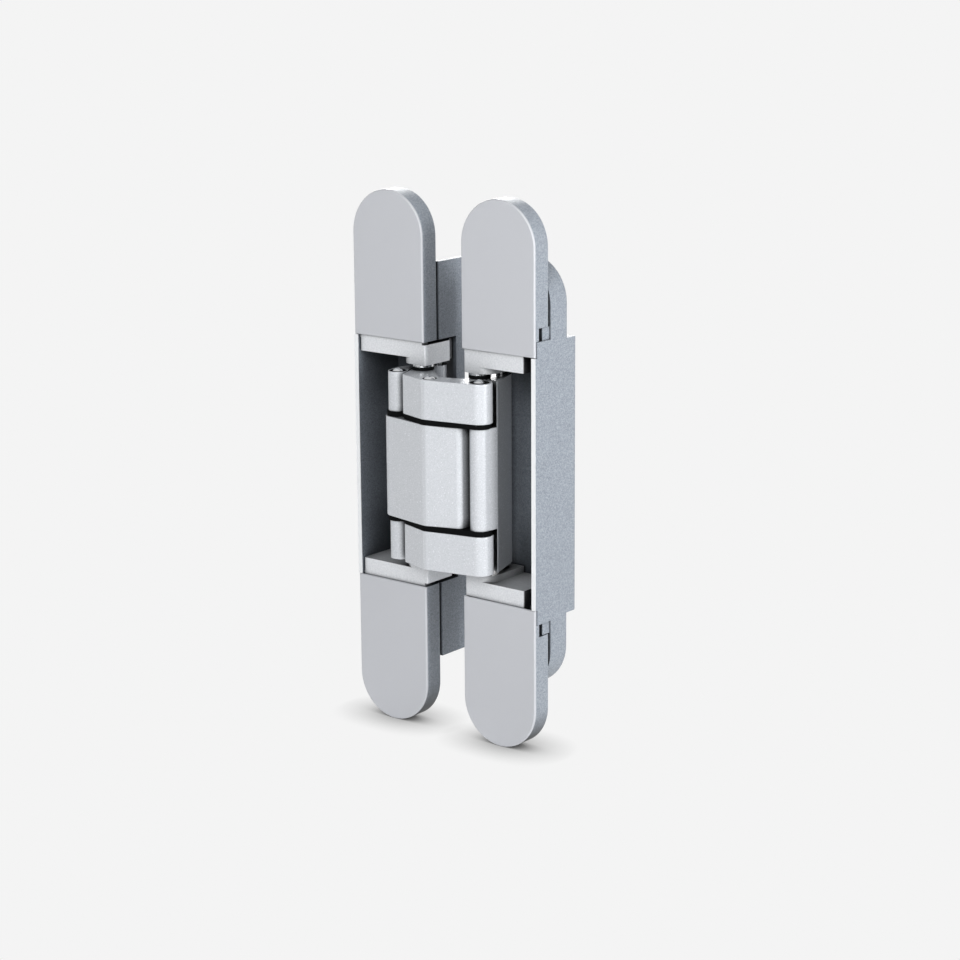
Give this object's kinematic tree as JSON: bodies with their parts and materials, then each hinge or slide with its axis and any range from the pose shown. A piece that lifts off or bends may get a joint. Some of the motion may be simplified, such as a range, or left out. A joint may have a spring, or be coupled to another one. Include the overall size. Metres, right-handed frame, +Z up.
{
  "type": "concealed door hinge",
  "caption": "Concealed door hinge: stepped housings for frame and door with rounded clip-on covers, joined by a folding linkage of crossed arms and short links that hides when closed.",
  "frame": {"origin": "centre of the frame side's outer screw pair, on the back of its screw flange", "axes": "+Z up along the hinge, +Y into the door frame, +X across the frame side towards the door side"},
  "size_m": [0.0794, 0.0334, 0.19],
  "materials": {
    "housing": "silver sprayed finish with fine speckle",
    "cover": "smooth satin light grey",
    "block": "satin silver",
    "arm": "satin silver with soft highlights",
    "pin": "polished",
    "bush": "bright turned",
    "washer": "black"
  },
  "bodies": {
    "frame_side": {"frame_housing": "housing", "frame_cover_upper": "cover", "frame_cover_lower": "cover"},
    "frame_carriage": {"frame_block_upper": "block", "frame_block_lower": "block", "frame_bushes": "bush"},
    "frame_arm": {"frame_arm": "arm", "frame_arm_pin": "pin", "centre_pin": "pin", "door_link_pin": "pin", "centre_washers": "washer", "door_link_washers": "washer", "frame_pivot_washers": "washer"},
    "door_arm": {"door_arm": "arm", "door_arm_pin": "pin", "door_pivot_washers": "washer"},
    "frame_link": {"frame_link": "arm", "frame_link_pin": "pin", "frame_rear_pin": "pin", "frame_link_washers": "washer"},
    "door_link": {"door_link": "arm", "door_rear_pin": "pin"},
    "door_carriage": {"door_block_upper": "block", "door_block_lower": "block", "door_bushes": "bush"},
    "door_side": {"door_housing": "housing", "door_cover_upper": "cover", "door_cover_lower": "cover"}
  },
  "joints": [
    {"name": "height_adjust", "type": "slide", "parent": "frame_side", "child": "frame_carriage", "axis": [0, 0, 1], "range_m": [-0.001, 0.001]},
    {"name": "frame_arm_pivot", "type": "hinge", "parent": "frame_carriage", "child": "frame_arm", "pos_m": [0.0115, -0.0038, 0], "axis": [0, 0, 1], "range_deg": [-112.53, 0]},
    {"name": "centre_pivot", "type": "hinge", "parent": "frame_arm", "child": "door_arm", "pos_m": [0.024, -0.0154, 0], "axis": [0, 0, 1], "range_deg": [0, 45.07]},
    {"name": "door_arm_pivot", "type": "hinge", "parent": "door_arm", "child": "door_carriage", "pos_m": [0.0365, -0.0038, 0], "axis": [0, 0, 1], "range_deg": [-112.53, 0]},
    {"name": "frame_link_pivot", "type": "hinge", "parent": "door_arm", "child": "frame_link", "pos_m": [0.0061, -0.0108, 0], "axis": [0, 0, 1], "range_deg": [-15.33, 0]},
    {"name": "door_link_pivot", "type": "hinge", "parent": "frame_arm", "child": "door_link", "pos_m": [0.0419, -0.0108, 0], "axis": [0, 0, 1], "range_deg": [0, 15.33]},
    {"name": "side_adjust", "type": "slide", "parent": "door_carriage", "child": "door_side", "axis": [1, 0, 0], "range_m": [-0.001, 0.001]}
  ],
  "couplings": [
    {"joint": "centre_pivot", "follows": "frame_arm_pivot", "ratio": -0.40049},
    {"joint": "door_arm_pivot", "follows": "frame_arm_pivot", "ratio": 1},
    {"joint": "frame_link_pivot", "follows": "frame_arm_pivot", "ratio": 0.13627},
    {"joint": "door_link_pivot", "follows": "frame_arm_pivot", "ratio": -0.13627}
  ]
}
